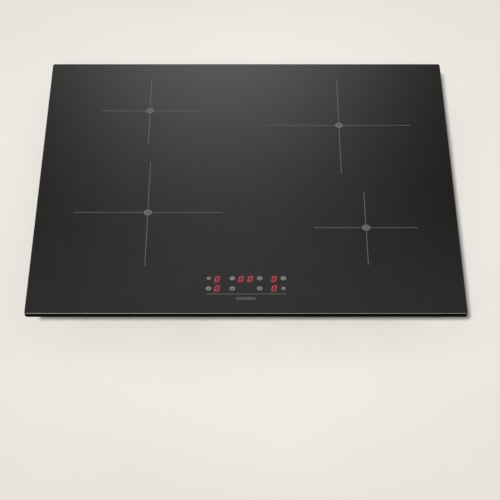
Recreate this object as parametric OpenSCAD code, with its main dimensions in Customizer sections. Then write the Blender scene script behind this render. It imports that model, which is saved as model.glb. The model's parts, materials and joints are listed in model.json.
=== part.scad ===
// Built-in electric induction cooktop with four zones.
// Z = 0 is the top of the worktop that the glass rim rests on. +Y is the wall side, -Y the cook's side.

/* [Glass] */
// Width of the glass
glass_w = 590; // [586:1:600]
// Depth of the glass
glass_d = 520; // [516:1:530]
// Thickness of the glass
glass_t = 6; // [4:0.5:6]
// Height of the ground bevel on the cook's edge
bevel = 0.8; // [0.6:0.1:1.4]
// Ground corner of the glass, seen from above
corner_r = 3; // [2:0.5:8]
// Thickness of the squeezed foam seal
seal_t = 1.5; // [1.5:0.1:3]

/* [Case] */
// Depth of the case below the worktop
case_depth = 52.5; // [52.5:0.5:60]
// Sheet thickness of the case
sheet = 1; // [0.8:0.1:1.2]
// Height at which the case front starts to slope back
slope_top = -19; // [-24:1:-18]

/* [Cooking zones] */
// Diameter of the two large zones
zone_big = 210; // [200:1:210]
// Diameter of the two small zones
zone_small = 145; // [140:1:150]
// Width of the printed zone lines
line_w = 0.9; // [0.6:0.1:1.5]
// Radius of the printed centre dot
dot_r = 5.75; // [4:0.25:7]

/* [Controls] */
// Distance of the upper key row in front of the glass centre
row_a = 195; // [195:0.5:197]
// Distance of the lower key row in front of the glass centre
row_b = 214; // [213:0.5:215]
// Radius of the printed touch keys
key_r = 3.8; // [3.2:0.1:4]
// Radius of the two smaller touch keys
key_small_r = 2.9; // [2.4:0.1:3.2]
// Height of the display digits
digit_h = 10.5; // [9:0.5:11]

/* [Fan] */
// Number of impeller blades
blades = 26; // [18:1:28]
// Outer radius of the impeller
impeller_r = 35; // [33:0.5:35]

/* [Clamps] */
// Length of a claw, from its screw to its tip
claw_len = 30; // [27:1:30]
// Depth of worktop that the claws grip at rest
grip_depth = 38; // [36:1:38]

/* [Hidden] */
$fn = 48;

z_top = seal_t + glass_t;      // cooking surface
z_under = seal_t;              // underside of the glass
z_floor = -case_depth;         // outside of the case floor
z_in = z_floor + sheet;        // inside of the case floor
frame_z = 0.3;                 // underside of the glued frame
hx = 275;                      // case half width: 5 mm inside a 560 mm cut-out
hy = 240;                      // case half depth: 5 mm inside a 490 mm cut-out
run = case_depth + slope_top;  // the front slopes at 45 degrees
ink = 0.05;                    // depth of the fired print, flush with the glass

// zone: centre x, centre y, diameter
zones = [[-138, -66.5, zone_big], [-143, 151, zone_small], [136.5, 118.5, zone_big], [167, -97, zone_small]];
function coil_r(z) = z[2] / 2 - 8;

clamp_x = 265;                 // clamp screw axes
clamp_y = 150;
blower = [[-150, 189], [60, 189]];
box_x = [146, 250];            // terminal opening in the floor
box_y = [164, 234];
cable_x = 205;
cable_z = -36;

// ---------- shared shapes ----------
// outline of a rectangle with rounded corners, centred
function rrect(w, d, r, n = 5) = [for (c = [0:3], i = [0:n])
    let (a = c * 90 + i * 90 / n, sx = (c == 0 || c == 3) ? 1 : -1, sy = c < 2 ? 1 : -1)
    [sx * (w / 2 - r) + r * cos(a), sy * (d / 2 - r) + r * sin(a)]];

module plate(w, d, r, z0, z1, n = 5) translate([0, 0, z0]) linear_extrude(z1 - z0) polygon(rrect(w, d, r, n));

module block(x0, x1, y0, y1, z0, z1) translate([x0, y0, z0]) cube([x1 - x0, y1 - y0, z1 - z0]);

module rod(r, z0, z1, f = 32) translate([0, 0, z0]) cylinder(r = r, h = z1 - z0, $fn = f);

// prism along X from a profile of [y, z] points
module along_x(x0, x1, pts) translate([x0, 0, 0]) rotate([90, 0, 90]) linear_extrude(x1 - x0) polygon(pts);

// a tube along a path with plane-cut rings
function unit(v) = v / norm(v);
module tube(path, r, sides = 8) {
    n = len(path);
    function tangent(i) = unit(i == 0 ? path[1] - path[0] : i == n - 1 ? path[n - 1] - path[n - 2]
        : unit(path[i] - path[i - 1]) + unit(path[i + 1] - path[i]));
    pts = [for (i = [0:n - 1]) let (t = tangent(i), ref = abs(t[0]) > 0.9 ? [0, 1, 0] : [1, 0, 0],
        u = unit(cross(t, ref)), v = cross(t, u)) for (k = [0:sides - 1])
        path[i] + r * (cos(360 * k / sides) * u + sin(360 * k / sides) * v)];
    polyhedron(pts, concat([[for (k = [0:sides - 1]) k]],
        [for (i = [0:n - 2], k = [0:sides - 1]) [i * sides + k, (i + 1) * sides + k,
            (i + 1) * sides + (k + 1) % sides, i * sides + (k + 1) % sides]],
        [[for (k = [sides - 1:-1:0]) (n - 1) * sides + k]]), convexity = 6);
}

// ---------- glass and print ----------
module zone_print(z, h0, h1) translate([z[0], z[1], h0]) linear_extrude(h1 - h0) {
    square([z[2], line_w], center = true);
    square([line_w, z[2]], center = true);
    circle(r = dot_r, $fn = 64);
}

module zone_solids(h0, h1) for (z = zones) zone_print(z, h0, h1);

// one bar of a digit: centre, length, upright or not, in a slanted cell
seg_t = 1.2;
function lean(p) = [p[0] + p[1] * tan(10), p[1]];
function bar(c, l, up) = [for (p = [[-l / 2, 0], [-l / 2 + seg_t / 2, seg_t / 2], [l / 2 - seg_t / 2, seg_t / 2],
    [l / 2, 0], [l / 2 - seg_t / 2, -seg_t / 2], [-l / 2 + seg_t / 2, -seg_t / 2]]) lean(up ? [c[0] - p[1], c[1] + p[0]] : c + p)];
digit_w = digit_h * 0.6;
bars = let (a = digit_h / 2 - seg_t / 2, b = digit_w / 2 - seg_t / 2)
    [bar([0, a], 2 * b - 0.4, false), bar([0, -a], 2 * b - 0.4, false),
     bar([b, a / 2], a - 0.4, true), bar([b, -a / 2], a - 0.4, true),
     bar([-b, a / 2], a - 0.4, true), bar([-b, -a / 2], a - 0.4, true)];
digit_a = row_a + 1.4;          // the upper digits sit a little lower than their keys
digits = [[-39.1, -digit_a], [-39.1, -row_b], [-6.8, -digit_a], [5.6, -digit_a], [37.9, -digit_a], [37.9, -row_b]];
module digit_solids(h0, h1) for (d = digits, b = bars)
    translate([d[0], d[1], h0]) linear_extrude(h1 - h0) polygon(b);

// keys: x, y, radius, symbol
keys = [[-50.5, -row_a, key_small_r, 0], [-50.5, -row_b, key_r, 0], [50.5, -row_a, key_r, 0], [50.5, -row_b, key_small_r, 0],
    [-18.5, -row_a, key_r, 1], [18.5, -row_a, key_r, 2], [-18.5, -row_b, key_r, 3], [18.5, -row_b, key_r, 4]];
module symbol(k) {
    if (k == 0) circle(r = 0.7, $fn = 24);
    if (k == 1) square([3.6, 0.7], center = true);
    if (k == 2) { square([3.6, 0.7], center = true); square([0.7, 3.6], center = true); }
    if (k == 3) difference() {
        union() { translate([-1.4, -1.6]) square([2.8, 2]); translate([0, 0.4]) circle(r = 1.1, $fn = 24); }
        translate([0, 0.4]) circle(r = 0.5, $fn = 24);
    }
    if (k == 4) union() {
        difference() { circle(r = 1.9, $fn = 32); circle(r = 1.3, $fn = 32); translate([-0.75, 0]) square([1.5, 3]); }
        translate([-0.3, 0]) square([0.6, 2.4]);
    }
}
module control_solids(h0, h1) {
    for (k = keys) translate([k[0], k[1], h0]) linear_extrude(h1 - h0) difference() {
        circle(r = k[2], $fn = 48);
        symbol(k[3]);
    }
    block(-53.5, 53.5, -224.7, -223.9, h0, h1);
    // a plain row of coil loops
    for (i = [-2:2]) translate([i * 5.2, -232.5, h0]) linear_extrude(h1 - h0) difference() {
        circle(r = 2.3, $fn = 40);
        circle(r = 1.6, $fn = 40);
    }
}

module glass_top() color([0.05, 0.05, 0.055]) difference() {
    plate(glass_w, glass_d, corner_r, z_under, z_top);
    // ground bevel on the cook's edge
    along_x(-glass_w / 2 - 1, glass_w / 2 + 1, [[-glass_d / 2 - 1, z_top - bevel - 1], [-glass_d / 2 - 1, z_top + 1], [-glass_d / 2 + bevel + 1, z_top + 1]]);
    // small arris on the lower edge and the three other edges
    along_x(-glass_w / 2 - 1, glass_w / 2 + 1, [[-glass_d / 2 - 1, z_under + 1.4], [-glass_d / 2 + 1.4, z_under - 1], [-glass_d / 2 - 1, z_under - 1]]);
    along_x(-glass_w / 2 - 1, glass_w / 2 + 1, [[glass_d / 2 + 1, z_top - 1.4], [glass_d / 2 + 1, z_top + 1], [glass_d / 2 - 1.4, z_top + 1]]);
    for (s = [-1, 1]) scale([s, 1, 1]) translate([glass_w / 2, 0, z_top]) rotate([0, 45, 0]) cube([0.57, glass_d + 4, 0.57], center = true);
    zone_solids(z_top - ink, z_top + 1);
    control_solids(z_top - ink, z_top + 1);
    digit_solids(z_top - ink, z_top + 1);
}

module zone_markings() color([0.42, 0.42, 0.41]) zone_solids(z_top - ink, z_top);
module control_markings() color([0.47, 0.48, 0.46]) control_solids(z_top - ink, z_top);
module display_digits() color([0.85, 0.08, 0.12]) digit_solids(z_top - ink, z_top);

module worktop_seal() color([0.06, 0.06, 0.06]) difference() {
    plate(glass_w - 1, glass_d - 1, corner_r, 0, z_under);
    plate(glass_w - 19, glass_d - 19, 4, -1, z_under + 1);
}

module glass_adhesive() color([0.12, 0.12, 0.12]) difference() {
    plate(562, 492, 3, frame_z + 1, z_under);
    plate(526, 456, 3, frame_z, z_under + 1);
}

// glued steel frame with a lip that drops outside the case walls
screw_at = [for (x = [-205, 0, 205]) [x, -1, 0], for (x = [-205, 0, 125]) [x, 1, 0], for (s = [-1, 1], y = [-60, 60]) [s, y, 1]];
module at_frame_screws() for (p = screw_at)
    if (p[2] == 0) translate([p[0], p[1] * hy, -7]) rotate([-90 * p[1], 0, 0]) children();
    else translate([p[0] * hx, p[1], -7]) rotate([0, 90 * p[0], 0]) children();

module glass_frame() color([0.55, 0.56, 0.57]) difference() {
    union() {
        plate(566, 496, 4, frame_z, frame_z + 1);
        plate(2 * hx + 2.8, 2 * hy + 2.8, 7.4, -14, frame_z + 0.5);
    }
    plate(2 * hx + 0.8, 2 * hy + 0.8, 6.4, -15, frame_z);
    plate(524, 454, 4, frame_z - 1, frame_z + 2);
    at_frame_screws() rod(2, -3, 4);
}

module frame_screws() color([0.75, 0.75, 0.76]) at_frame_screws() difference() {
    union() { rod(1.95, -5, 1.5, 24); rod(3.6, 1.4, 3.4, 32); }
    for (a = [0, 90]) rotate(a) block(-2, 2, -0.45, 0.45, 2.4, 4);
}

// ---------- case ----------
module at_clamps() for (sx = [-1, 1], sy = [-1, 1])
    translate([sx * clamp_x, sy * clamp_y, 0]) mirror([sx < 0 ? 1 : 0, 0, 0]) mirror([0, sy > 0 ? 1 : 0, 0]) children();
// seen from each clamp: +X points out of the case, +Y to the middle of its side

module slot(w, l, t) linear_extrude(t, center = true) polygon(rrect(w, l, w / 2 - 0.01, 3));

module case_tray() color([0.62, 0.63, 0.64]) difference() {
    difference() {
        plate(2 * hx, 2 * hy, 6, z_floor, frame_z);
        at_clamps() block(-10, 20, -10, 36, z_floor - 1, 2);
        along_x(-hx - 1, hx + 1, [[-hy - 2, slope_top + 2], [-hy - 2, z_floor - 2], [-hy + run + 2, z_floor - 2]]);
    }
    difference() {
        plate(2 * (hx - sheet), 2 * (hy - sheet), 5, z_in, 2);
        at_clamps() block(-10 - sheet, 20, -10 - sheet, 36 + sheet, z_floor - 1, 3);
        along_x(-hx - 1, hx + 1, [[-hy - 2, slope_top + 2 + sheet * 1.41421], [-hy - 2, z_floor - 2], [-hy + run + 2 + sheet * 1.41421, z_floor - 2]]);
    }
    // warm air leaves through the sloped front
    for (s = [-1, 1], i = [0:15]) translate([s * (42 + i * 12), -hy + run / 2, slope_top - run / 2])
        rotate([-45, 0, 0]) slot(4, min(26, run), 8);
    // side and rear slots
    for (s = [-1, 1], i = [0:9]) translate([s * hx, -67.5 + i * 15, -34]) rotate([0, 90, 0]) rotate(90) slot(4, 20, 8);
    for (i = [0:17]) translate([-225 + i * 12, hy, -34]) rotate([90, 0, 0]) slot(4, 20, 8);
    // intake grilles under the blowers
    for (b = blower, k = [-4:4]) translate([b[0] + k * 6.8, b[1], z_floor]) slot(4, 2 * sqrt(31 * 31 - pow(k * 6.8, 2)), 8);
    // terminal opening and cable entry
    block(box_x[0], box_x[1], box_y[0], box_y[1], z_floor - 1, z_in + 1);
    translate([cable_x, hy, cable_z]) rotate([90, 0, 0]) linear_extrude(8, center = true) gland_outline(0);
    at_frame_screws() rod(2, -4, 2);
}

// ---------- coils ----------
lead_at = [[-28, -66, 0], [-135, 78, 1], [137.5, 12, 1], [92, -97, 0]]; // x, y, 1 when the pair lies along X
module coil_deck() color([0.8, 0.81, 0.82]) difference() {
    union() {
        block(-252, 252, -176, 230, -12.5, -11.5);
        for (s = [-1, 1], y = [-100, -20, 60]) block(s > 0 ? 251 : -252, s > 0 ? 252 : -251, y, y + 40, z_in, -11.5);
    }
    for (z = zones) {
        translate([z[0], z[1], 0]) rod(9, -14, -10);
        for (a = [0:60:300]) rotate(0) translate([z[0] + 0.62 * coil_r(z) * cos(a + 30), z[1] + 0.62 * coil_r(z) * sin(a + 30), 0]) rod(6, -14, -10, 24);
    }
    for (l = lead_at) translate([l[0], l[1], -12]) rotate(l[2] * 90) cube([10, 28, 4], center = true);
}

module deck_posts() color([0.75, 0.75, 0.73]) for (y = [-150, -40, 60, 112]) translate([0, y, 0]) rod(3.5, z_in, -12.5, 6);

module coil_carriers() color([0.9, 0.88, 0.82]) for (z = zones) translate([z[0], z[1], 0]) difference() {
    union() {
        rod(coil_r(z) + 3, -6.5, -5, 96);
        for (a = [0:120:240]) rotate(a + 22.5) translate([coil_r(z) * 0.86, 0, 0]) rod(4, -11.5, -5.5, 24);
    }
    rod(9, -14, 0);
    for (i = [0:7]) rotate(i * 45 + 22.5) translate([coil_r(z) * 0.55, 0, -6]) linear_extrude(4, center = true) polygon(rrect(coil_r(z) * 0.35, 9, 3, 3));
}

// flat winding: each turn rises to a rounded crest
turn = 3.5;
module winding(z) {
    r0 = 24;
    n = floor((coil_r(z) - r0) / turn);
    color([0.72, 0.42, 0.2]) translate([z[0], z[1], 0]) rotate_extrude($fn = 96) polygon(concat([[r0, -5]],
        [for (i = [0:n - 1]) for (k = [0, 1, 2, 3]) [r0 + i * turn + [0.1, 1.0, 2.5, 3.4][k], [-2.0, -1.05, -1.05, -2.0][k]]],
        [[r0 + n * turn, -5]]));
}
module coil_winding_front_left() winding(zones[0]);
module coil_winding_rear_left() winding(zones[1]);
module coil_winding_rear_right() winding(zones[2]);
module coil_winding_front_right() winding(zones[3]);

module coil_ferrites() color([0.2, 0.2, 0.21]) for (z = zones) let (n = z[2] > 170 ? 8 : 6) for (i = [0:n - 1])
    translate([z[0], z[1], 0]) rotate(i * 360 / n + (n == 6 ? -10 : 0)) block(24, coil_r(z) - 4, -6.5, 6.5, -11.4, -6.5);

module mica_sheets() color([0.85, 0.8, 0.66]) for (z = zones) translate([z[0], z[1], 0]) difference() {
    rod(coil_r(z) + 2, -1, -0.5, 96);
    rod(8, -2, 0);
}
module thermal_mats() color([0.93, 0.92, 0.88]) for (z = zones) translate([z[0], z[1], 0]) difference() {
    rod(coil_r(z) + 2, -0.5, z_under, 96);
    rod(8, -2, z_under + 1);
}
module temperature_sensors() color([0.8, 0.35, 0.25]) for (z = zones) translate([z[0], z[1], 0]) {
    rod(4.5, -9, z_under, 32);
    rod(7, -6, -4, 32);
}

// a pair of sleeved leads drops from each coil to its board
function drop(a, b) = [a, a + unit(b - a) * norm(b - a) * 0.7 + [0, 0, 0.4], [b[0], b[1], -6], [b[0], b[1], -12], [b[0], b[1], -38.4]];
module coil_leads() color([0.85, 0.85, 0.8]) for (i = [0:3], s = [-7, 7]) let (l = lead_at[i], z = zones[i], o = l[2] == 1 ? [s, 0, 0] : [0, s, 0],
    c = l[2] == 1 ? [z[0] + (l[0] - z[0]), z[1] - sqrt(pow(coil_r(z) + 2.6, 2) - pow(l[0] - z[0], 2)) - 1.4, -3.2] : [z[0] + (l[0] > z[0] ? 1 : -1) * (coil_r(z) + 4.2), l[1], -3.2])
    tube(drop(c + o, [l[0], l[1], -3.2] + o), 1.9);

module coil_terminals() color([0.8, 0.65, 0.3]) for (l = lead_at, s = [-7, 7])
    translate([l[0] + (l[2] == 1 ? s : 0), l[1] + (l[2] == 1 ? 0 : s), 0]) rod(3.2, -44.4, -38.4, 24);

// ---------- power electronics ----------
board_z = [-46, -44.4];
posts = [for (s = [-1, 1], x = [16, 128, 240], y = [-112, 120]) [s * x, y]];
module board_holes() for (p = posts) translate([p[0], p[1], -45]) cylinder(r = 1.7, h = 6, center = true, $fn = 24);
module power_board_left() color([0.1, 0.4, 0.2]) difference() { block(-248, -8, -120, 128, board_z[0], board_z[1]); board_holes(); }
module power_board_right() color([0.1, 0.4, 0.2]) difference() { block(8, 248, -120, 128, board_z[0], board_z[1]); board_holes(); }
module board_standoffs() color([0.93, 0.92, 0.86]) for (p = posts) translate([p[0], p[1], 0]) difference() {
    rod(3, z_in, board_z[0], 24);
    rod(1.65, z_in + 1, 0, 24);
}
module board_screws() color([0.75, 0.75, 0.76]) for (p = posts) translate([p[0], p[1], 0]) difference() {
    union() { rod(1.6, board_z[0] - 3, board_z[1] + 0.5, 20); rod(3, board_z[1], board_z[1] + 2, 24); }
    for (a = [0, 90]) rotate(a) block(-1.7, 1.7, -0.4, 0.4, board_z[1] + 1.1, board_z[1] + 3);
}

sink_x = [-174, 46]; // in line with the blower outlets
module heat_sinks() color([0.78, 0.79, 0.8]) for (x = sink_x) {
    block(x - 22, x + 22, -60, 122, board_z[1], board_z[1] + 4);
    for (i = [0:7]) block(x - 22 + i * 6.1, x - 22 + i * 6.1 + 1.3, -60, 122, board_z[1] + 3.9, -19);
}
module power_transistors() color([0.13, 0.13, 0.14]) for (x = sink_x, i = [0:4])
    block(x + 22, x + 27, -48 + i * 34, -48 + i * 34 + 16, board_z[1] + 1.5, board_z[1] + 22);
module film_capacitors() color([0.75, 0.72, 0.62]) for (x = [-110, 152], i = [0:3])
    translate([x, -100 + i * 26, board_z[1]]) plateau(36, 18, 27);
module plateau(w, d, h) linear_extrude(h) polygon(rrect(w, d, 1.5, 3));
module filter_chokes() color([0.75, 0.4, 0.18]) for (p = [[-60, 30], [180, 60], [205, -30]]) translate([p[0], p[1], board_z[1] + 7.5])
    rotate_extrude($fn = 48) translate([15, 0]) circle(r = 7.5, $fn = 24);
module electrolytic_capacitors() color([0.15, 0.17, 0.3]) for (p = [[-60, 80], [-225, 100], [-225, 70], [110, 60], [225, 105], [-225, -90], [225, -100], [-60, 105]])
    translate([p[0], p[1], board_z[1]]) rod(8, 0, 24, 32);

module ribbon_cable() color([0.7, 0.7, 0.72]) along_x(22, 44, [[-184, -8], [-178.4, -8], [-176.9, -9.2], [-176.9, -22], [-160, -30], [-126, -33], [-118, -36], [-118, -44.4],
    [-119, -44.4], [-119, -36.8], [-126.4, -34], [-160.6, -31], [-177.9, -22.6], [-177.9, -9.6], [-178.8, -8.9], [-184, -8.9]]);

// ---------- touch controls under the glass ----------
module ui_board() color([0.1, 0.4, 0.22]) block(-72, 72, -225, -184, -9, -7.4);
module ui_carrier() color([0.15, 0.15, 0.16]) difference() {
    union() {
        block(-76, 76, -226.5, -182, -12, -7.4);
        for (s = [-1, 1]) block(s > 0 ? 76 : -90, s > 0 ? 90 : -76, -215, -195, -12, z_under);
    }
    block(-72.2, 72.2, -225.2, -180, -9, 0);
    block(-60, 60, -216, -192, -13, 0);
}
module touch_springs() color([0.8, 0.78, 0.7]) for (k = keys) translate([k[0], k[1], 0]) rotate_extrude($fn = 32)
    polygon(concat([[1.8, -7.4]], [for (i = [0:7]) [[2.9, 3.6][i % 2], -7.4 + i * 8.9 * seal_t / 1.5 / 7 * (z_under + 7.4) / (8.9 * seal_t / 1.5)]], [[1.8, z_under]]));
module display_modules() color([0.1, 0.1, 0.1]) for (d = digits) block(d[0] - 4.2, d[0] + 4.2, d[1] - 6.6, d[1] + 6.6, -7.4, z_under - 0.5);

// ---------- mains terminals ----------
// the cable entry is six-sided, so the rubber can't turn in it
module gland_outline(gap) polygon([for (a = [30:60:330]) (10.4 - gap) * [cos(a), sin(a)]]);

module terminal_box() color([0.14, 0.14, 0.15]) difference() {
    block(box_x[0] - 2, box_x[1] + 2, box_y[0] - 2, hy - sheet, z_in, -22);
    block(box_x[0], box_x[1], box_y[0], box_y[1] + 2, z_floor, -24);
    // cable entry, wire exit and hinge pin seats
    translate([cable_x, hy, cable_z]) rotate([90, 0, 0]) linear_extrude(16, center = true) gland_outline(0);
    for (i = [-1:1]) translate([205 + i * 13, box_y[0] - 1, -30]) rotate([90, 0, 0]) cylinder(r = 2.2, h = 6, center = true, $fn = 24);
    translate([0, box_y[0] + 5.5, z_floor + 4.2]) rotate([0, 90, 0]) cylinder(r = 1.02, h = 600, $fn = 24);
}
module terminal_block() color([0.88, 0.87, 0.82]) difference() {
    block(166, 236, 186, 206, -42, -24);
    for (i = [0:5]) translate([172.5 + i * 11.4, 196, 0]) {
        rod(3.2, -43, -36, 24);
        translate([0, -11, -31]) rotate([-90, 0, 0]) rod(2.4, 0, 22, 24);
    }
    for (i = [0:4]) block(177.5 + i * 11.4, 178.9 + i * 11.4, 185, 207, -43, -38);
}
module terminal_screws() color([0.82, 0.68, 0.32]) for (i = [0:5]) translate([172.5 + i * 11.4, 196, 0]) difference() {
    rod(3.1, -40.5, -36, 24);
    block(-4, 4, -0.4, 0.4, -41, -39.6);
}
module terminal_cover() color([0.16, 0.16, 0.17]) difference() {
    union() {
        block(box_x[0] + 0.6, box_x[1] - 0.6, box_y[0] + 2.2, box_y[1] - 0.7, z_floor + 0.3, z_floor + 2.1);
        // hinge lugs, stiffening ribs and closing tongue
        for (x = [box_x[0] + 8, box_x[1] - 12]) {
            translate([x, box_y[0] + 5.5, z_floor + 4.2]) rotate([0, 90, 0]) rod(2.4, 0, 4, 32);
            block(x, x + 4, box_y[0] + 3.4, box_y[0] + 7.6, z_floor + 2, z_floor + 4.2);
        }
        for (x = [box_x[0] + 30, box_x[1] - 32]) block(x, x + 2, box_y[0] + 12, box_y[1] - 10, z_floor + 2, z_floor + 4.5);
        block(cable_x - 22, cable_x - 10, box_y[1] - 2.6, box_y[1] - 0.9, z_floor + 2, z_floor + 7);
    }
    translate([0, box_y[0] + 5.5, z_floor + 4.2]) rotate([0, 90, 0]) cylinder(r = 1.05, h = 600, $fn = 24);
    // finger notch
    translate([(box_x[0] + box_x[1]) / 2, box_y[1] - 4, z_floor]) plate(22, 5, 2.4, 0, 1.1, 4);
}
module cover_hinge_pin() color([0.75, 0.75, 0.76]) translate([box_x[0] - 1.9, box_y[0] + 5.5, z_floor + 4.2]) rotate([0, 90, 0]) cylinder(r = 1, h = box_x[1] - box_x[0] + 3.8, $fn = 24);

module cable_grommet() color([0.08, 0.08, 0.08]) translate([cable_x, hy, cable_z]) rotate([-90, 0, 0]) difference() {
    union() {
        translate([0, 0, -8]) linear_extrude(11) gland_outline(0.1);
        rod(12, 0, 3, 48);
        rod(11.6, -8, -4.1, 48);
    }
    rod(6.5, -9, 4, 48);
}

wires = [[218, "brown"], [205, "blue"], [192, "green"]];
module mains_wires() color([0.25, 0.3, 0.6]) for (i = [0:2]) let (x = 218 - i * 13)
    tube([[x, 185, -31], [x, 176, -30.6], [x, 168, -30], [x, 158, -30], [x, 148, -31], [x - 2, 141, -34], [x - 4, 136.5, -38], [x - 6, 131, -41], [x - 8, 124, -41.6], [x - 10, 112, -42.2]], 1.9);

// ---------- blowers ----------
function scroll(d, y_end) = concat([for (t = [0:15:270]) (38 + 10 * t / 270 - d) * [cos(270 + t), sin(270 + t)]], [[-48 + d, y_end], [-d, y_end]]);
module blower_housings() color([0.13, 0.13, 0.14]) for (b = blower) translate([b[0], b[1], 0]) difference() {
    translate([0, 0, z_in]) linear_extrude(33) polygon(scroll(0, -52));
    translate([0, 0, z_in + 1.5]) linear_extrude(30) polygon(scroll(1.5, -54));
    rod(30, z_in - 1, z_in + 3, 64);
}
module blower_motors() color([0.7, 0.55, 0.3]) for (b = blower) translate([b[0], b[1], 0]) difference() {
    union() { rod(15, z_in + 13, z_in + 29, 40); rod(20, z_in + 29, z_in + 31.5, 40); }
    rod(1.55, z_in + 12, z_in + 28, 24);
}
module impeller(b) color([0.2, 0.2, 0.22]) translate([b[0], b[1], z_in]) {
    // cup, back plate and shaft
    difference() {
        union() { rod(18, 10.5, 27, 48); rod(impeller_r, 25.5, 27, 64); }
        rod(16.5, 12, 28, 48);
    }
    rod(1.5, 11, 26.5, 24);
    difference() { rod(impeller_r, 3.5, 5.5, 64); rod(impeller_r - 1.4, 3, 6, 64); }
    for (i = [0:blades - 1]) rotate(i * 360 / blades) translate([0, 0, 4]) linear_extrude(22)
        polygon([[28, -0.4], [31, 0.9], [impeller_r - 0.4, 3.6], [impeller_r - 0.7, 4.4], [30.6, 1.8], [28, 0.5]]);
}
module blower_impeller_left() impeller(blower[0]);
module blower_impeller_right() impeller(blower[1]);

// ---------- worktop clamps ----------
nut_top = -8.5;
module clamp_brackets() color([0.72, 0.73, 0.74]) at_clamps() difference() {
    union() {
        block(-10, -8.5, -9, 9, -48, -12);
        block(-10, 7, -8, 8, -13.5, -12);
        rod(4.6, -12.1, nut_top, 6);
    }
    rod(2.55, -15, -7, 32);
}
module place(sx, sy) translate([sx * clamp_x, sy * clamp_y, 0]) mirror([sx < 0 ? 1 : 0, 0, 0]) mirror([0, sy > 0 ? 1 : 0, 0]) children();
module washer() color([0.78, 0.78, 0.79]) difference() { rod(6, -grip_depth - 9, -grip_depth - 8, 40); rod(2.6, -60, 0, 32); }
module screw() color([0.8, 0.8, 0.8]) difference() {
    union() { rod(2.5, -grip_depth - 9.1, -grip_depth + 28, 32); rod(4.75, -grip_depth - 12, -grip_depth - 9, 40); }
    for (a = [0, 90]) rotate(a) block(-2.6, 2.6, -0.5, 0.5, -grip_depth - 13, -grip_depth - 10.4);
}
module claw() color([0.6, 0.6, 0.62]) difference() {
    union() {
        rod(7, -grip_depth - 8, -grip_depth - 1, 40);
        block(0, claw_len, -5, 5, -grip_depth - 8, -grip_depth - 3);
        block(claw_len - 8, claw_len, -5, 5, -grip_depth - 4, -grip_depth);
        along_block();
    }
    rod(2.58, -60, 0, 32);
}
// stiffening rib between hub and grip pad
module along_block() translate([0, 1, 0]) rotate([90, 0, 0]) linear_extrude(2)
    polygon([[6, -grip_depth - 3.1], [claw_len - 7.9, -grip_depth - 3.1], [claw_len - 7.9, -grip_depth - 1.2], [6, -grip_depth - 1.8]]);

module clamp_washer_front_left() place(-1, -1) washer();
module clamp_washer_front_right() place(1, -1) washer();
module clamp_washer_rear_left() place(-1, 1) washer();
module clamp_washer_rear_right() place(1, 1) washer();
module clamp_screw_front_left() place(-1, -1) screw();
module clamp_screw_front_right() place(1, -1) screw();
module clamp_screw_rear_left() place(-1, 1) screw();
module clamp_screw_rear_right() place(1, 1) screw();
module clamp_claw_front_left() place(-1, -1) claw();
module clamp_claw_front_right() place(1, -1) claw();
module clamp_claw_rear_left() place(-1, 1) claw();
module clamp_claw_rear_right() place(1, 1) claw();

glass_top();
worktop_seal();
glass_adhesive();
glass_frame();
frame_screws();
case_tray();
coil_deck();
deck_posts();
coil_carriers();
coil_winding_front_left();
coil_winding_rear_left();
coil_winding_rear_right();
coil_winding_front_right();
coil_ferrites();
mica_sheets();
thermal_mats();
temperature_sensors();
power_board_left();
power_board_right();
heat_sinks();
power_transistors();
film_capacitors();
filter_chokes();
electrolytic_capacitors();
board_standoffs();
board_screws();
coil_terminals();
coil_leads();
ribbon_cable();
mains_wires();
ui_board();
ui_carrier();
touch_springs();
display_modules();
display_digits();
control_markings();
zone_markings();
terminal_box();
terminal_block();
terminal_screws();
cover_hinge_pin();
cable_grommet();
blower_housings();
blower_motors();
clamp_brackets();
terminal_cover();
blower_impeller_left();
blower_impeller_right();
clamp_washer_front_left();
clamp_washer_front_right();
clamp_washer_rear_left();
clamp_washer_rear_right();
clamp_screw_front_left();
clamp_screw_front_right();
clamp_screw_rear_left();
clamp_screw_rear_right();
clamp_claw_front_left();
clamp_claw_front_right();
clamp_claw_rear_left();
clamp_claw_rear_right();
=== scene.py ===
import json
import math

import bmesh
import bpy
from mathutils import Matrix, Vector


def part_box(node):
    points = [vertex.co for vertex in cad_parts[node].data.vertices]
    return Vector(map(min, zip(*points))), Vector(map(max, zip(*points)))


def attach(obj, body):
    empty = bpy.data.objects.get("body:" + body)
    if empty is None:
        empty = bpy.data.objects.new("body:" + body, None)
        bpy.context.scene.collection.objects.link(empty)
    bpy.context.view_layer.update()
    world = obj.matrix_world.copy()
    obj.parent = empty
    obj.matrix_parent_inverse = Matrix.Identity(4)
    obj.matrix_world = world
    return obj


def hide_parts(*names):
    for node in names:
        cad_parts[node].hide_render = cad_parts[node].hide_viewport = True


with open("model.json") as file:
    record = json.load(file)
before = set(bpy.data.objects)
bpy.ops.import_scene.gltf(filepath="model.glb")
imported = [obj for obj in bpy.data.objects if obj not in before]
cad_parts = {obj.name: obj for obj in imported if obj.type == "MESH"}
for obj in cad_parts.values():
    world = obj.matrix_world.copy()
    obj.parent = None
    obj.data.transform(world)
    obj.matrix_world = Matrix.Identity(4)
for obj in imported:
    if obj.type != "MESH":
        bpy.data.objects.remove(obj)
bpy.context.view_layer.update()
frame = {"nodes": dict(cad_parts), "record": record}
NODES = frame["nodes"]
MM = 0.001
Z_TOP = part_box("glass_top")[1].z
FLOOR_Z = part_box("case_tray")[0].z
scene = bpy.context.scene
scene.view_settings.view_transform = "Standard"


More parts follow.
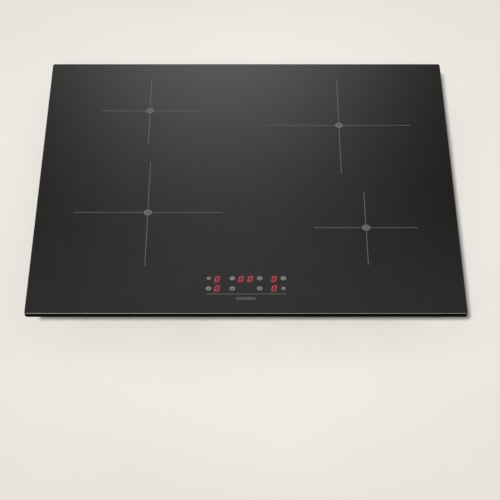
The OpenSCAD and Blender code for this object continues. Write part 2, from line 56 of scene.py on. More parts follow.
# ---------------------------------------------------------------- camera
cam_data = bpy.data.cameras.new("camera")
cam_data.lens = 133.53
cam_data.sensor_width = 36.0
cam_data.shift_x = 0.0016
cam_data.shift_y = 0.0003
cam_data.clip_start = 0.05
cam_data.clip_end = 200
cam_data.dof.use_dof = False
cam = bpy.data.objects.new("camera", cam_data)
cam.location = (0.0043, -1.941, 1.8135)
cam.rotation_euler = (math.radians(90 - 45.1), 0, 0)
scene.collection.objects.link(cam)
scene.camera = cam


# ---------------------------------------------------------------- node helpers
class Mat:
    def __init__(self, name):
        self.m = bpy.data.materials.new(name)
        self.m.use_nodes = True
        self.t = self.m.node_tree
        self.t.nodes.clear()
        self.out = self.node("ShaderNodeOutputMaterial")
        self.b = self.node("ShaderNodeBsdfPrincipled")
        self.t.links.new(self.b.outputs[0], self.out.inputs[0])
        self.tc = self.node("ShaderNodeTexCoord")
        self.obj = self.tc.outputs["Object"]
        self.heights = []

    def node(self, kind, **kw):
        n = self.t.nodes.new(kind)
        for k, v in kw.items():
            setattr(n, k, v)
        return n

    def put(self, socket, value):
        if isinstance(value, bpy.types.NodeSocket):
            self.t.links.new(value, socket)
        else:
            if hasattr(socket.default_value, "__len__") and not hasattr(value, "__len__"):
                value = [value] * len(socket.default_value)
            if hasattr(value, "__len__") and len(value) == 3 and len(socket.default_value) == 4:
                value = (*value, 1)
            socket.default_value = value

    def set(self, **kw):
        for k, v in kw.items():
            self.put(self.b.inputs[k.replace("_", " ")], v)
        return self

    def math(self, op, a, b=0.0, c=None, clamp=False):
        n = self.node("ShaderNodeMath", operation=op, use_clamp=clamp)
        self.put(n.inputs[0], a)
        self.put(n.inputs[1], b)
        if c is not None:
            self.put(n.inputs[2], c)
        return n.outputs[0]

    def mix(self, f, a, b):
        n = self.node("ShaderNodeMix", data_type="RGBA")
        self.put(n.inputs[0], f)
        self.put(n.inputs[6], a)
        self.put(n.inputs[7], b)
        return n.outputs[2]

    def scaled(self, sx, sy, sz, src=None):
        n = self.node("ShaderNodeMapping")
        self.put(n.inputs["Vector"], src or self.obj)
        n.inputs["Scale"].default_value = (sx, sy, sz)
        return n.outputs[0]

    def noise(self, scale, detail=4.0, rough=0.55, vec=None, distortion=0.0):
        n = self.node("ShaderNodeTexNoise")
        self.put(n.inputs["Vector"], vec or self.obj)
        n.inputs["Scale"].default_value = scale
        n.inputs["Detail"].default_value = detail
        n.inputs["Roughness"].default_value = rough
        n.inputs["Distortion"].default_value = distortion
        return n.outputs["Fac"]

    def voronoi(self, scale, feature="F1", out="Distance", vec=None, rnd=1.0):
        n = self.node("ShaderNodeTexVoronoi", feature=feature)
        self.put(n.inputs["Vector"], vec or self.obj)
        n.inputs["Scale"].default_value = scale
        n.inputs["Randomness"].default_value = rnd
        return n.outputs[out]

    def rng(self, v, a, b, c, d, smooth=False):
        n = self.node("ShaderNodeMapRange")
        n.interpolation_type = "SMOOTHSTEP" if smooth else "LINEAR"
        self.put(n.inputs["Value"], v)
        n.inputs["From Min"].default_value = a
        n.inputs["From Max"].default_value = b
        n.inputs["To Min"].default_value = c
        n.inputs["To Max"].default_value = d
        return n.outputs[0]

    def xyz(self, vec=None):
        n = self.node("ShaderNodeSeparateXYZ")
        self.put(n.inputs[0], vec or self.obj)
        return n.outputs

    def bump(self, height, strength=0.3, distance=0.0002):
        n = self.node("ShaderNodeBump")
        n.inputs["Strength"].default_value = strength
        n.inputs["Distance"].default_value = distance
        self.put(n.inputs["Height"], height)
        if self.b.inputs["Normal"].links:
            self.t.links.new(self.b.inputs["Normal"].links[0].from_socket, n.inputs["Normal"])
        self.put(self.b.inputs["Normal"], n.outputs[0])
        return self


MATS = {}


def keep(name, mat):
    MATS[name] = mat.m
    return mat


# ---------------------------------------------------------------- glass and print
def make_glass():
    g = Mat("black_glass")
    x, y, z = g.xyz()
    wipe = g.noise(9, 3, 0.5, g.scaled(1, 0.35, 1), 0.4)
    fine = g.noise(900, 2, 0.5)
    body = g.mix(g.rng(g.noise(40, 3), 0.35, 0.65, 0, 1), (0.0052, 0.0052, 0.0052), (0.0066, 0.0066, 0.0064))
    g.put(g.b.inputs["Base Color"], body)
    g.put(g.b.inputs["Roughness"], g.rng(g.math("ADD", wipe, g.math("MULTIPLY", fine, 0.15)), 0.35, 0.8, 0.05, 0.08))
    g.set(IOR=1.5)
    # red light of the displays in the smoked glass around each digit
    def cell(cx, cy, sx=0.0034, sy=0.0054):
        ys = g.math("SUBTRACT", y, cy)
        xs = g.math("SUBTRACT", g.math("SUBTRACT", x, cx), g.math("MULTIPLY", ys, 0.176))
        q = g.math("ADD", g.math("POWER", g.math("ABSOLUTE", g.math("DIVIDE", xs, sx)), 3.0),
                   g.math("POWER", g.math("ABSOLUTE", g.math("DIVIDE", ys, sy)), 3.0))
        return g.math("ADD", g.rng(q, 0.35, 1.6, 1, 0, True), g.math("MULTIPLY", g.rng(q, 0.5, 14, 1, 0, True), 0.16))
    total = None
    for cx, cy in DIGITS:
        c = cell(cx, cy)
        total = c if total is None else g.math("ADD", total, c)
    top = g.rng(z, Z_TOP - 0.0004, Z_TOP - 0.0001, 0, 1)
    glow = g.math("MULTIPLY", total, top)
    g.set(Emission_Color=(0.085, 0.002, 0.006))
    g.put(g.b.inputs["Emission Strength"], glow)
    g.bump(g.noise(60, 2, 0.4), 0.02, 0.0001)
    return keep("black_glass", g)


DIGITS = [(-0.0391, -0.1964), (-0.0391, -0.214), (-0.0068, -0.1964), (0.0056, -0.1964), (0.0379, -0.1964), (0.0379, -0.214)]
make_glass()

g = Mat("ground_bevel")
grind = g.noise(1, 3, 0.6, g.scaled(300, 4000, 4000))
g.put(g.b.inputs["Base Color"], g.mix(grind, (0.034, 0.034, 0.034), (0.065, 0.065, 0.064)))
g.put(g.b.inputs["Roughness"], g.rng(grind, 0.3, 0.7, 0.40, 0.5))
g.bump(grind, 0.2, 0.00005)
keep("ground_bevel", g)

g = Mat("edge_black")
grind = g.noise(1, 3, 0.6, g.scaled(200, 200, 5000))
g.put(g.b.inputs["Base Color"], g.mix(grind, (0.0004, 0.0004, 0.0004), (0.0012, 0.0012, 0.0012)))
g.put(g.b.inputs["Roughness"], g.rng(grind, 0.3, 0.7, 0.42, 0.56))
g.b.inputs["Specular IOR Level"].default_value = 0.01
g.bump(grind, 0.15, 0.00005)
keep("edge_black", g)


ZONE_CENTRES = [(-0.138, -0.0665), (-0.143, 0.151), (0.1365, 0.1185), (0.167, -0.097)]


g = Mat("polished_rim")
grind = g.noise(60, 3, 0.5)
g.put(g.b.inputs["Base Color"], g.mix(grind, (0.002, 0.002, 0.002), (0.004, 0.004, 0.004)))
g.put(g.b.inputs["Roughness"], g.rng(grind, 0.3, 0.7, 0.05, 0.09))
g.b.inputs["Specular IOR Level"].default_value = 0.15
g.bump(grind, 0.05, 0.00005)
keep("polished_rim", g)


def fired_print(name, dark, light, thin_middle=False, faint_rule=False):
    p = Mat(name)
    speck = p.noise(2600, 3, 0.6)
    colour = p.mix(p.rng(speck, 0.3, 0.7, 0, 1), dark, light)
    if thin_middle:
        # the enamel is thinner in the middle of each dot
        x, y, z = p.xyz()
        near = None
        for cx, cy in ZONE_CENTRES:
            dx2 = p.math("POWER", p.math("ABSOLUTE", p.math("SUBTRACT", x, cx)), 2.0)
            dy2 = p.math("POWER", p.math("ABSOLUTE", p.math("SUBTRACT", y, cy)), 2.0)
            dist = p.math("SQRT", p.math("ADD", dx2, dy2))
            near = dist if near is None else p.math("MINIMUM", near, dist)
        colour = p.mix(p.rng(near, 0.0016, 0.0036, 0.30, 0, True), colour, (0, 0, 0))
    if faint_rule:
        # the long rule below the keys is printed more thinly than the keys
        x, y, z = p.xyz()
        off = p.math("ABSOLUTE", p.math("ADD", y, 0.2243))
        colour = p.mix(p.rng(off, 0.0006, 0.0009, 0.24, 0), colour, (0, 0, 0))
    p.put(p.b.inputs["Base Color"], colour)
    p.set(Roughness=0.42, IOR=1.5)
    p.bump(speck, 0.25, 0.00005)
    return keep(name, p)


fired_print("zone_print", (0.090, 0.090, 0.088), (0.122, 0.122, 0.120), True)
fired_print("key_print", (0.140, 0.142, 0.138), (0.190, 0.192, 0.188), False, True)

d = Mat("lit_segments")
spot = d.voronoi(700, "SMOOTH_F1")
d.set(Base_Color=(0.2, 0.01, 0.015), Roughness=0.2)
d.put(d.b.inputs["Emission Color"], d.mix(d.rng(spot, 0.1, 0.6, 0, 1), (0.42, 0.080, 0.115), (0.31, 0.040, 0.065)))
d.set(Emission_Strength=0.95)
keep("lit_segments", d)

# ---------------------------------------------------------------- rubber, foam, silicone
f = Mat("foam_seal")
pores = f.voronoi(1400)
f.put(f.b.inputs["Base Color"], f.mix(f.rng(pores, 0.1, 0.6, 0, 1), (0.003, 0.003, 0.003), (0.009, 0.009, 0.009)))
f.put(f.b.inputs["Roughness"], f.rng(f.noise(300), 0.3, 0.7, 0.75, 0.95))
f.bump(pores, 0.6, 0.0002)
f.b.inputs["Specular IOR Level"].default_value = 0.2
keep("foam_seal", f)


def rubber(name, dark, light, scale=800, rough=(0.5, 0.7)):
    r = Mat(name)
    n = r.noise(scale, 3)
    r.put(r.b.inputs["Base Color"], r.mix(r.noise(60, 4), dark, light))
    r.put(r.b.inputs["Roughness"], r.rng(n, 0.3, 0.7, rough[0], rough[1]))
    r.bump(n, 0.2, 0.0001)
    return keep(name, r)


rubber("silicone", (0.010, 0.010, 0.010), (0.018, 0.018, 0.018), 300, (0.3, 0.45))
rubber("grommet", (0.008, 0.008, 0.008), (0.016, 0.016, 0.016))
rubber("wire", (0.03, 0.05, 0.22), (0.05, 0.07, 0.3), 500, (0.35, 0.5))
rubber("ribbon", (0.42, 0.42, 0.43), (0.5, 0.5, 0.52), 500, (0.4, 0.5))
rubber("conductive_foam", (0.5, 0.47, 0.38), (0.6, 0.57, 0.48), 900, (0.7, 0.9))


# ---------------------------------------------------------------- metals
def zinc(name, a, b, spangle=90, rough=(0.26, 0.42)):
    """Hot-dip zinc: flat crystals of slightly different shade, rolled scratches, spot welds left to geometry."""
    s = Mat(name)
    cell = s.voronoi(spangle, "F1", "Color")
    hue = s.node("ShaderNodeSeparateColor")
    s.put(hue.inputs[0], cell)
    roll = s.noise(1, 4, 0.65, s.scaled(25, 1800, 1800))
    cloud = s.noise(14, 5)
    tone = s.math("ADD", s.math("MULTIPLY", hue.outputs[0], 0.55), s.math("MULTIPLY", cloud, 0.45))
    s.put(s.b.inputs["Base Color"], s.mix(tone, a, b))
    s.put(s.b.inputs["Roughness"], s.rng(s.math("ADD", s.math("MULTIPLY", hue.outputs[1], 0.5), s.math("MULTIPLY", roll, 0.5)), 0.15, 0.85, rough[0], rough[1]))
    s.set(Metallic=1.0)
    s.bump(roll, 0.06, 0.0001)
    s.bump(hue.outputs[2], 0.03, 0.0001)
    return keep(name, s)


zinc("zinc_steel", (0.44, 0.45, 0.465), (0.56, 0.57, 0.58), 210, (0.30, 0.42))


def plain_metal(name, a, b, brush=(40, 2500, 2500), rough=(0.2, 0.36)):
    s = Mat(name)
    line = s.noise(1, 4, 0.6, s.scaled(*brush))
    s.put(s.b.inputs["Base Color"], s.mix(s.noise(70, 3), a, b))
    s.put(s.b.inputs["Roughness"], s.rng(line, 0.3, 0.7, rough[0], rough[1]))
    s.set(Metallic=1.0)
    s.bump(line, 0.08, 0.0001)
    return keep(name, s)


plain_metal("plated_screw", (0.60, 0.59, 0.55), (0.74, 0.73, 0.70), (900, 900, 900), (0.2, 0.34))
plain_metal("aluminium", (0.70, 0.71, 0.72), (0.80, 0.80, 0.81))
plain_metal("brass", (0.70, 0.50, 0.20), (0.78, 0.58, 0.26), (700, 700, 700))

c = Mat("copper")
strand = c.noise(1, 2, 0.5, c.scaled(900, 900, 4000))
c.put(c.b.inputs["Base Color"], c.mix(strand, (0.52, 0.20, 0.07), (0.80, 0.38, 0.17)))
c.set(Metallic=0.85)
c.put(c.b.inputs["Roughness"], c.rng(strand, 0.3, 0.7, 0.25, 0.45))
c.bump(strand, 0.5, 0.0002)
keep("copper", c)


# ---------------------------------------------------------------- plastics, boards and insulation
def plastic(name, a, b, grain=1500, rough=(0.4, 0.55), strength=0.15):
    s = Mat(name)
    n = s.voronoi(grain, "SMOOTH_F1")
    s.put(s.b.inputs["Base Color"], s.mix(s.noise(30, 4), a, b))
    s.put(s.b.inputs["Roughness"], s.rng(n, 0.1, 0.7, rough[0], rough[1]))
    s.bump(n, strength, 0.0001)
    return keep(name, s)


plastic("black_plastic", (0.012, 0.012, 0.013), (0.020, 0.020, 0.021))
plastic("pale_plastic", (0.66, 0.63, 0.54), (0.74, 0.71, 0.62))
plastic("film_capacitor", (0.42, 0.38, 0.26), (0.5, 0.46, 0.33), 500, (0.25, 0.35), 0.05)
plastic("electrolytic", (0.015, 0.02, 0.07), (0.025, 0.03, 0.10), 500, (0.25, 0.35), 0.05)
plastic("ferrite", (0.028, 0.028, 0.03), (0.045, 0.045, 0.048), 2200, (0.55, 0.75), 0.3)
plastic("mica", (0.50, 0.44, 0.28), (0.62, 0.56, 0.40), 200, (0.3, 0.5), 0.2)
plastic("ceramic_mat", (0.74, 0.73, 0.68), (0.82, 0.81, 0.77), 900, (0.85, 0.95), 0.6)
plastic("sensor", (0.5, 0.12, 0.05), (0.6, 0.17, 0.08), 900, (0.5, 0.6), 0.2)
plastic("sleeve", (0.62, 0.61, 0.55), (0.72, 0.71, 0.65), 1800, (0.6, 0.8), 0.6)

s = Mat("circuit_board")
track = s.node("ShaderNodeTexBrick")
s.put(track.inputs["Vector"], s.obj)
track.inputs["Scale"].default_value = 90
track.inputs["Mortar Size"].default_value = 0.06
hole = s.voronoi(260, "F1", "Distance", None, 0.35)
s.put(s.b.inputs["Base Color"], s.mix(s.rng(hole, 0.10, 0.14, 1, 0), s.mix(track.outputs["Fac"], (0.006, 0.10, 0.035), (0.012, 0.18, 0.06)), (0.55, 0.5, 0.42)))
s.set(Roughness=0.28, Coat_Weight=0.4)
s.bump(track.outputs["Fac"], 0.3, 0.0001)
keep("circuit_board", s)

MATS["fired_print"] = MATS["zone_print"]
slot_of = {e["node"]: e["material_slot"] for e in frame["record"]["subparts"]}
for name, o in NODES.items():
    o.data.materials.clear()
    o.data.materials.append(MATS[slot_of[name]])

NODES["control_markings"].data.materials[0] = MATS["key_print"]


# ---------------------------------------------------------------- pieces
def mesh_piece(name, bm, mats, body="case", smooth=False, replaces=None):
    me = bpy.data.meshes.new(name)
    bmesh.ops.recalc_face_normals(bm, faces=bm.faces)
    bm.to_mesh(me)
    bm.free()
    for m in mats:
        me.materials.append(MATS[m])
    for poly in me.polygons:
        poly.use_smooth = smooth
    o = bpy.data.objects.new(name, me)
    scene.collection.objects.link(o)
    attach(o, body)
    if replaces:
        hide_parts(*replaces)
    return o


def rounded_outline(x0, x1, y0, y1, r, n=10):
    pts = []
    for cx, cy, a0 in ((x1 - r, y1 - r, 0), (x0 + r, y1 - r, 90), (x0 + r, y0 + r, 180), (x1 - r, y0 + r, 270)):
        for i in range(n + 1):
            a = math.radians(a0 + 90 * i / n)
            pts.append((cx + r * math.cos(a), cy + r * math.sin(a), math.cos(a), math.sin(a)))
    return pts


def glass_plate():
    """The plate with its ground bevel, rounded arrises and separate finishes on top and edge."""
    glo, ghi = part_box("glass_top")
    r = 3.0 * MM
    ring = rounded_outline(glo.x, ghi.x, glo.y, ghi.y, r)
    top = ghi.z - 0.00003

    def lay(inset_front, inset_rest, z_front, z_rest):
        out = []
        for x, y, nx, ny in ring:
            w = min(1.0, max(0.0, (-ny - 0.35) / 0.6))
            w = w * w * (3 - 2 * w)
            i = inset_rest + (inset_front - inset_rest) * w
            out.append(bm.verts.new((x - nx * i, y - ny * i, z_rest + (z_front - z_rest) * w)))
        return out

    bm = bmesh.new()
    b = 0.00062
    a = 0.0004
    rows = [
        (lay(a, a, glo.z, glo.z), 2),
        (lay(0.3 * a, 0.3 * a, glo.z + 0.3 * a, glo.z + 0.3 * a), 2),
        (lay(0, 0, glo.z + a, glo.z + a), 2),
        (lay(0, 0, top - b - 0.00006, top - a), 2),
        (lay(0.00002, 0.3 * a, top - b, top - 0.3 * a), 1),
        (lay(b, a, top - 0.00002, top - 0.00001), 0),
        (lay(b + 0.00006, a + 0.0001, top, top), 0),
        (lay(b + 0.00075, a + 0.0005, top, top), 3),
    ]
    for (lo_row, _), (hi_row, mat) in zip(rows, rows[1:]):
        n = len(ring)
        for k in range(n):
            f = bm.faces.new((lo_row[k], lo_row[(k + 1) % n], hi_row[(k + 1) % n], hi_row[k]))
            f.material_index = mat
    top_face = bm.faces.new(rows[-1][0])
    top_face.material_index = 0
    under = bm.faces.new(list(reversed(rows[0][0])))
    under.material_index = 2
    bm.faces.ensure_lookup_table()
    for f in bm.faces:
        # only the cook's edge has the matt ground bevel
        c = f.calc_center_median()
        f.normal_update()
        if 0.2 < f.normal.z < 0.97 and c.z > top - 0.0012:
            f.material_index = 1 if f.normal.y < -0.5 else 0
    return mesh_piece("glass_plate", bm, ["black_glass", "ground_bevel", "edge_black", "polished_rim"], replaces=["glass_top"])


glass_plate()


# pressed and joined details of the folded case: each is drawn on a wall, u along it, v across it, u x v outwards
def on_wall(bm, o, u, v, rows, mat=0):
    """rows are rings of (a, b, h) points, joined in order and closed at both ends; the first lies inside the wall"""
    n = u.cross(v)
    rings = [[bm.verts.new(o + u * (a * MM) + v * (b * MM) + n * (h * MM)) for a, b, h in row] for row in rows]
    for lower, upper in zip(rings, rings[1:]):
        k = len(lower)
        for i in range(k):
            bm.faces.new((lower[i], lower[(i + 1) % k], upper[(i + 1) % k], upper[i])).material_index = mat
    bm.faces.new(rings[-1]).material_index = mat
    bm.faces.new(list(reversed(rings[0]))).material_index = mat


def stadium(length, width, inset, h, n=9):
    r = width / 2 - inset
    half = length / 2 - width / 2
    pts = [(half + r * math.cos(math.radians(t)), r * math.sin(math.radians(t)), h) for t in [-90 + 180 * i / n for i in range(n + 1)]]
    return pts + [(-a, -b, h) for a, b, _ in pts]


def swage(bm, o, u, v, length, width, height):
    """a pressed stiffening bead with soft shoulders"""
    prof = [(0, -0.06), (0.05, 0.0), (0.16, 0.10), (0.30, 0.45), (0.46, 0.80), (0.62, 0.95), (0.80, 1.0), (0.93, 1.0)]
    on_wall(bm, o, u, v, [stadium(length, width, f * width / 2, -0.06 if h < 0 else h * height) for f, h in prof])


def turned(bm, o, u, v, prof, sides=20, mat=0):
    on_wall(bm, o, u, v, [[(r * math.cos(2 * math.pi * i / sides), r * math.sin(2 * math.pi * i / sides), h) for i in range(sides)] for r, h in prof], mat)


SPOT = [(3.1, -0.04), (3.0, 0.05), (2.7, 0.11), (2.35, 0.08), (2.1, 0.02), (0.9, 0.03)]
RIVET = [(2.1, -0.05), (2.1, 0.12), (1.9, 0.42), (1.45, 0.68), (0.85, 0.82), (0.5, 0.80), (0.4, 0.55)]


def tab(bm, o, u, v, width, height, t, cut):
    """a folded corner tab with clipped corners and broken edges"""
    def outline(i, h):
        w, k, c = width / 2 - i, height / 2 - i, cut
        return [(-w + c, -k, h), (w - c, -k, h), (w, -k + c, h), (w, k - c, h), (w - c, k, h), (-w + c, k, h), (-w, k - c, h), (-w, -k + c, h)]
    on_wall(bm, o, u, v, [outline(0, -0.05), outline(0, t - 0.2), outline(0.06, t - 0.07), outline(0.2, t)])


def case_details():
    clo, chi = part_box("case_tray")
    X, Y, Z = Vector((1, 0, 0)), Vector((0, 1, 0)), Vector((0, 0, 1))
    up_slope = Vector((0, -1, 1)).normalized()
    beads, tabs, spots, rivets = bmesh.new(), bmesh.new(), bmesh.new(), bmesh.new()
    for side in (-1, 1):
        x = chi.x if side > 0 else clo.x
        u = Y * side
        for y, z, length, width, height in ((-0.190, -0.030, 44, 8, 0.9), (-0.092, -0.034, 30, 8, 0.9), (0.092, -0.034, 30, 8, 0.9),
                                            (0.197, -0.034, 50, 8, 0.9), (0.0, -0.0485, 204, 2.6, 0.45), (0.199, -0.0485, 58, 2.6, 0.45)):
            swage(beads, Vector((x, y, z)), u, Z, length, width, height)
        for y, z in ((-0.1665, -0.020), (-0.1665, -0.0445), (-0.108, -0.0215), (-0.108, -0.0465), (0.108, -0.0215), (0.108, -0.0465), (0.1665, -0.020), (0.1665, -0.0445)):
            turned(spots, Vector((x, y, z)), u, Z, SPOT)
        # back corner tabs, welded, and front corner tabs, riveted
        o = Vector((side * 0.261, chi.y, -0.0335))
        tab(tabs, o, -X, Z, 15, 32, 0.8, 3)
        for dz in (-0.009, 0.009):
            turned(spots, o + Vector((0, 0.0008, dz)), -X, Z, SPOT)
        o = Vector((side * 0.2625, -0.22325, -0.03575))
        tab(tabs, o, X, up_slope, 12, 38, 0.8, 3)
        for k in (-0.012, 0.012):
            turned(rivets, o + up_slope * k + X.cross(up_slope) * 0.0008, X, up_slope, RIVET)
        swage(beads, Vector((side * 0.240, -0.22325, -0.03575)), X, up_slope, 24, 9, 0.9)
        # rivets of the clamp brackets
        for y0 in (-0.150, 0.150):
            for dy in (-0.0062, 0.0062):
                turned(rivets, Vector((side * 0.2565, y0 + dy, -0.020)), u, Z, [(r * 0.8, h * 0.8) for r, h in RIVET])
    swage(beads, Vector((0, -0.22325, -0.03575)), X, up_slope, 60, 9, 0.9)
    swage(beads, Vector((0.085, chi.y, -0.034)), -X, Z, 128, 8, 0.9)
    swage(beads, Vector((-0.117, chi.y, -0.0485)), -X, Z, 250, 2.6, 0.45)
    for k in (-0.236, 0.013):
        turned(spots, Vector((k, chi.y, -0.030)), -X, Z, SPOT)
    mesh_piece("case_swages", beads, ["zinc_steel"], smooth=True)
    mesh_piece("corner_tabs", tabs, ["zinc_steel"])
    mesh_piece("spot_welds", spots, ["zinc_steel"], smooth=True)
    mesh_piece("case_rivets", rivets, ["plated_screw"], smooth=True)

    # earth point beside the cable entry: toothed washer and hexagon screw
    earth = bmesh.new()
    o = Vector((0.2335, chi.y, -0.029))
    teeth = [[((5.2 if i % 2 else 4.7) * math.cos(math.pi * i / 18), (5.2 if i % 2 else 4.7) * math.sin(math.pi * i / 18), h) for i in range(36)] for h in (-0.05, 0.55)]
    inner = [[(4.2 * math.cos(math.pi * i / 18), 4.2 * math.sin(math.pi * i / 18), 0.8) for i in range(36)]]
    on_wall(earth, o, -X, Z, teeth + inner)
    hexagon = lambda r, h: [(r * math.cos(math.pi * i / 3), r * math.sin(math.pi * i / 3), h) for i in range(6)]
    on_wall(earth, o, -X, Z, [hexagon(3.5, 0.7), hexagon(3.5, 3.0), hexagon(3.1, 3.3), hexagon(1.7, 3.3), hexagon(1.5, 2.9)])
    mesh_piece("earth_screw", earth, ["plated_screw"])


case_details()


def clamp_screw(corner):
    """M5 screw: cut thread with a run-out at the head and a pointed start, domed head with a cross recess"""
    node = "clamp_screw_" + corner
    slo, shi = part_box(node)
    cx, cy = (slo.x + shi.x) / 2, (slo.y + shi.y) / 2
    pitch, sides, per_turn = 0.8, 18, 6
    z0, z1 = slo.z / MM + 2.9, shi.z / MM
    bm = bmesh.new()
    count = int((z1 - z0) / pitch * per_turn)
    rows = []
    for j in range(count + 1):
        z = z0 + (z1 - z0) * j / count
        fade = min(1.0, max(0.0, (z - z0 - 1.2) / 1.2)) * min(1.0, max(0.0, (z1 - z) / 1.0))
        core = 2.12 - 0.35 * min(1.0, max(0.0, (z - z1 + 0.8) / 0.8))
        row = []
        for i in range(sides):
            a = 2 * math.pi * i / sides
            t = ((z - z0) / pitch - i / sides) % 1.0
            crest = max(0.0, 1.0 - abs(t - 0.5) * 2.6)
            r = core + 0.375 * fade * min(1.0, crest * 1.35)
            row.append(bm.verts.new((cx + r * MM * math.cos(a), cy + r * MM * math.sin(a), z * MM)))
        rows.append(row)
    for lower, upper in zip(rows, rows[1:]):
        for i in range(sides):
            bm.faces.new((lower[i], lower[(i + 1) % sides], upper[(i + 1) % sides], upper[i]))
    bm.faces.new(list(reversed(rows[0])))
    bm.faces.new(rows[-1])
    mesh_piece("clamp_thread_" + corner, bm, ["plated_screw"], body=node, smooth=True)

    bm = bmesh.new()
    low = slo.z / MM
    prof = [(4.30, 0.0), (4.58, 0.07), (4.75, 0.32), (4.75, 2.66), (4.60, 2.91), (4.30, 2.97)]
    rings = [[bm.verts.new((cx + r * MM * math.cos(math.pi * i / 20), cy + r * MM * math.sin(math.pi * i / 20), (low + h) * MM)) for i in range(40)] for r, h in prof]
    for lower, upper in zip(rings, rings[1:]):
        for i in range(40):
            bm.faces.new((lower[i], lower[(i + 1) % 40], upper[(i + 1) % 40], upper[i]))
    bm.faces.new(rings[-1])
    cross = [(2.6, -0.5), (2.6, 0.5), (0.5, 0.5), (0.5, 2.6), (-0.5, 2.6), (-0.5, 0.5), (-2.6, 0.5), (-2.6, -0.5), (-0.5, -0.5), (-0.5, -2.6), (0.5, -2.6), (0.5, -0.5)]
    mouth, bed = [[bm.verts.new((cx + x * k * MM, cy + y * k * MM, (low + h) * MM)) for x, y in cross] for k, h in ((1.0, 0.0), (0.86, 1.6))]
    for i in range(12):
        bm.faces.new((mouth[i], mouth[(i + 1) % 12], bed[(i + 1) % 12], bed[i]))
    for loops in ((rings[0], mouth), (bed,)):
        edges = [bm.edges.get((loop[i], loop[(i + 1) % len(loop)])) or bm.edges.new((loop[i], loop[(i + 1) % len(loop)])) for loop in loops for i in range(len(loop))]
        bmesh.ops.triangle_fill(bm, use_beauty=True, edges=edges)
    mesh_piece("clamp_screw_head_" + corner, bm, ["plated_screw"], body=node, replaces=[node])


for corner in ("front_left", "front_right", "rear_left", "rear_right"):
    clamp_screw(corner)

# ---------------------------------------------------------------- floor
floor_mesh = bpy.data.meshes.new("floor")
bm = bmesh.new()
bmesh.ops.create_grid(bm, x_segments=8, y_segments=8, size=30)
bm.to_mesh(floor_mesh)
bm.free()
floor = bpy.data.objects.new("floor", floor_mesh)
floor.location = (0, 0, FLOOR_Z - 0.0001)
scene.collection.objects.link(floor)
fl = Mat("pale_floor")
mottle = fl.noise(2.2, 6, 0.6)
# painted shade: the floor colour gets darker with distance from the hob, standing in for the studio light falling off
floor_tone_by_hob = fl.mix(fl.rng(mottle, 0.3, 0.7, 0, 1), (0.736, 0.703, 0.675), (0.765, 0.732, 0.706))
floor_tone_painted_falloff = fl.mix(fl.rng(mottle, 0.3, 0.7, 0, 1), (0.664, 0.635, 0.611), (0.695, 0.665, 0.642))
fx, fy, fz = fl.xyz()
falloff_distance = fl.math("SQRT", fl.math("ADD", fl.math("MULTIPLY", fx, fx), fl.math("MULTIPLY", fy, fy)))
fl.put(fl.b.inputs["Base Color"], fl.mix(fl.rng(falloff_distance, 0.30, 0.60, 0, 1, True), floor_tone_by_hob, floor_tone_painted_falloff))
fl.set(Roughness=0.75)
fl.b.inputs["Specular IOR Level"].default_value = 0.0
floor_mesh.materials.append(fl.m)

# ---------------------------------------------------------------- light
world = bpy.data.worlds.new("studio")
scene.world = world
world.use_nodes = True
wt = world.node_tree
wt.nodes.clear()


def wn(kind, **kw):
    n = wt.nodes.new(kind)
    for k, v in kw.items():
        setattr(n, k, v)
    return n


def wm(op, a, b=0.0, clamp=False):
    n = wn("ShaderNodeMath", operation=op, use_clamp=clamp)
    for sock, v in ((n.inputs[0], a), (n.inputs[1], b)):
        if isinstance(v, bpy.types.NodeSocket):
            wt.links.new(v, sock)
        else:
            sock.default_value = v
    return n.outputs[0]


sep = wn("ShaderNodeSeparateXYZ")
wt.links.new(wn("ShaderNodeTexCoord").outputs["Generated"], sep.inputs[0])
dx, dy, dz = sep.outputs
up = wm("MAXIMUM", dz, 0.12)
# a direction is named by the point where a mirror at the hob would show it to a person standing in front
gx = wm("ADD", wm("MULTIPLY", wm("DIVIDE", dx, up), 1.806), 0.0043)
gy = wm("SUBTRACT", wm("MULTIPLY", wm("DIVIDE", dy, up), 1.806), 1.941)


def lobe(x0, y0, sx, sy, amp):
    u = wm("POWER", wm("ABSOLUTE", wm("DIVIDE", wm("SUBTRACT", gx, x0), sx)), 2.0)
    v = wm("POWER", wm("ABSOLUTE", wm("DIVIDE", wm("SUBTRACT", gy, y0), sy)), 2.0)
    e = wm("MULTIPLY", wm("ADD", u, v), -0.5)
    return wm("MULTIPLY", wm("EXPONENT", e), amp)


bright = wm("ADD", lobe(-0.038, 0.518, 0.181, 0.367, 2.0), lobe(0.049, -0.280, 0.9, 0.121, 0.344))
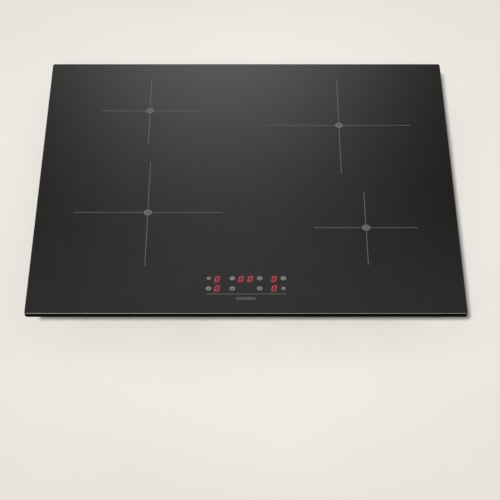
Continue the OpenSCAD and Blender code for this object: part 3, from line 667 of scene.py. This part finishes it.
# the cards are there for the gloss: they light the floor only weakly
bright = wm("MULTIPLY", bright, wm("SUBTRACT", 1.0, wm("MULTIPLY", wn("ShaderNodeLightPath").outputs["Is Diffuse Ray"], 0.8)))
far = wm("SQRT", wm("ADD", wm("POWER", wm("ABSOLUTE", wm("DIVIDE", gx, 0.38)), 2.0), wm("POWER", wm("ABSOLUTE", wm("DIVIDE", gy, 0.36)), 2.0)))
ambient = wn("ShaderNodeMapRange")
ambient.interpolation_type = "SMOOTHSTEP"
wt.links.new(far, ambient.inputs["Value"])
ambient.inputs["From Min"].default_value = 0.95
ambient.inputs["From Max"].default_value = 2.0
ambient.inputs["To Min"].default_value = 0.0
ambient.inputs["To Max"].default_value = 0.42
total = wm("ADD", bright, ambient.outputs[0])
# the studio sweep: near the horizon the wall is as bright as the floor
sweep = wn("ShaderNodeMapRange")
sweep.interpolation_type = "SMOOTHSTEP"
wt.links.new(dz, sweep.inputs["Value"])
sweep.inputs["From Min"].default_value = 0.30
sweep.inputs["From Max"].default_value = 0.05
sweep.inputs["To Min"].default_value = 0.0
sweep.inputs["To Max"].default_value = 1.0
total = wm("ADD", wm("MULTIPLY", total, wm("SUBTRACT", 1.0, sweep.outputs[0])), wm("MULTIPLY", sweep.outputs[0], 0.81))
tint = wn("ShaderNodeMix", data_type="RGBA")
wt.links.new(sweep.outputs[0], tint.inputs[0])
tint.inputs[6].default_value = (1.0, 0.995, 0.975, 1)
tint.inputs[7].default_value = (1.0, 0.955, 0.92, 1)
bg = wn("ShaderNodeBackground")
wt.links.new(tint.outputs[2], bg.inputs["Color"])
wt.links.new(total, bg.inputs["Strength"])
wt.links.new(bg.outputs[0], wn("ShaderNodeOutputWorld").inputs[0])


def sun(name, loc, angle, strength, colour=(1, 1, 1)):
    d = bpy.data.lights.new(name, "SUN")
    d.angle = math.radians(angle)
    d.energy = strength
    d.color = colour
    o = bpy.data.objects.new(name, d)
    o.location = loc
    o.rotation_euler = (-Vector(loc)).to_track_quat("-Z", "Y").to_euler()
    scene.collection.objects.link(o)
    return o


# one large softbox, far off above the cook's left shoulder
sun("key", (-1.29, -4.86, 5.83), 5.5, 3.2, (1.0, 0.985, 0.968))
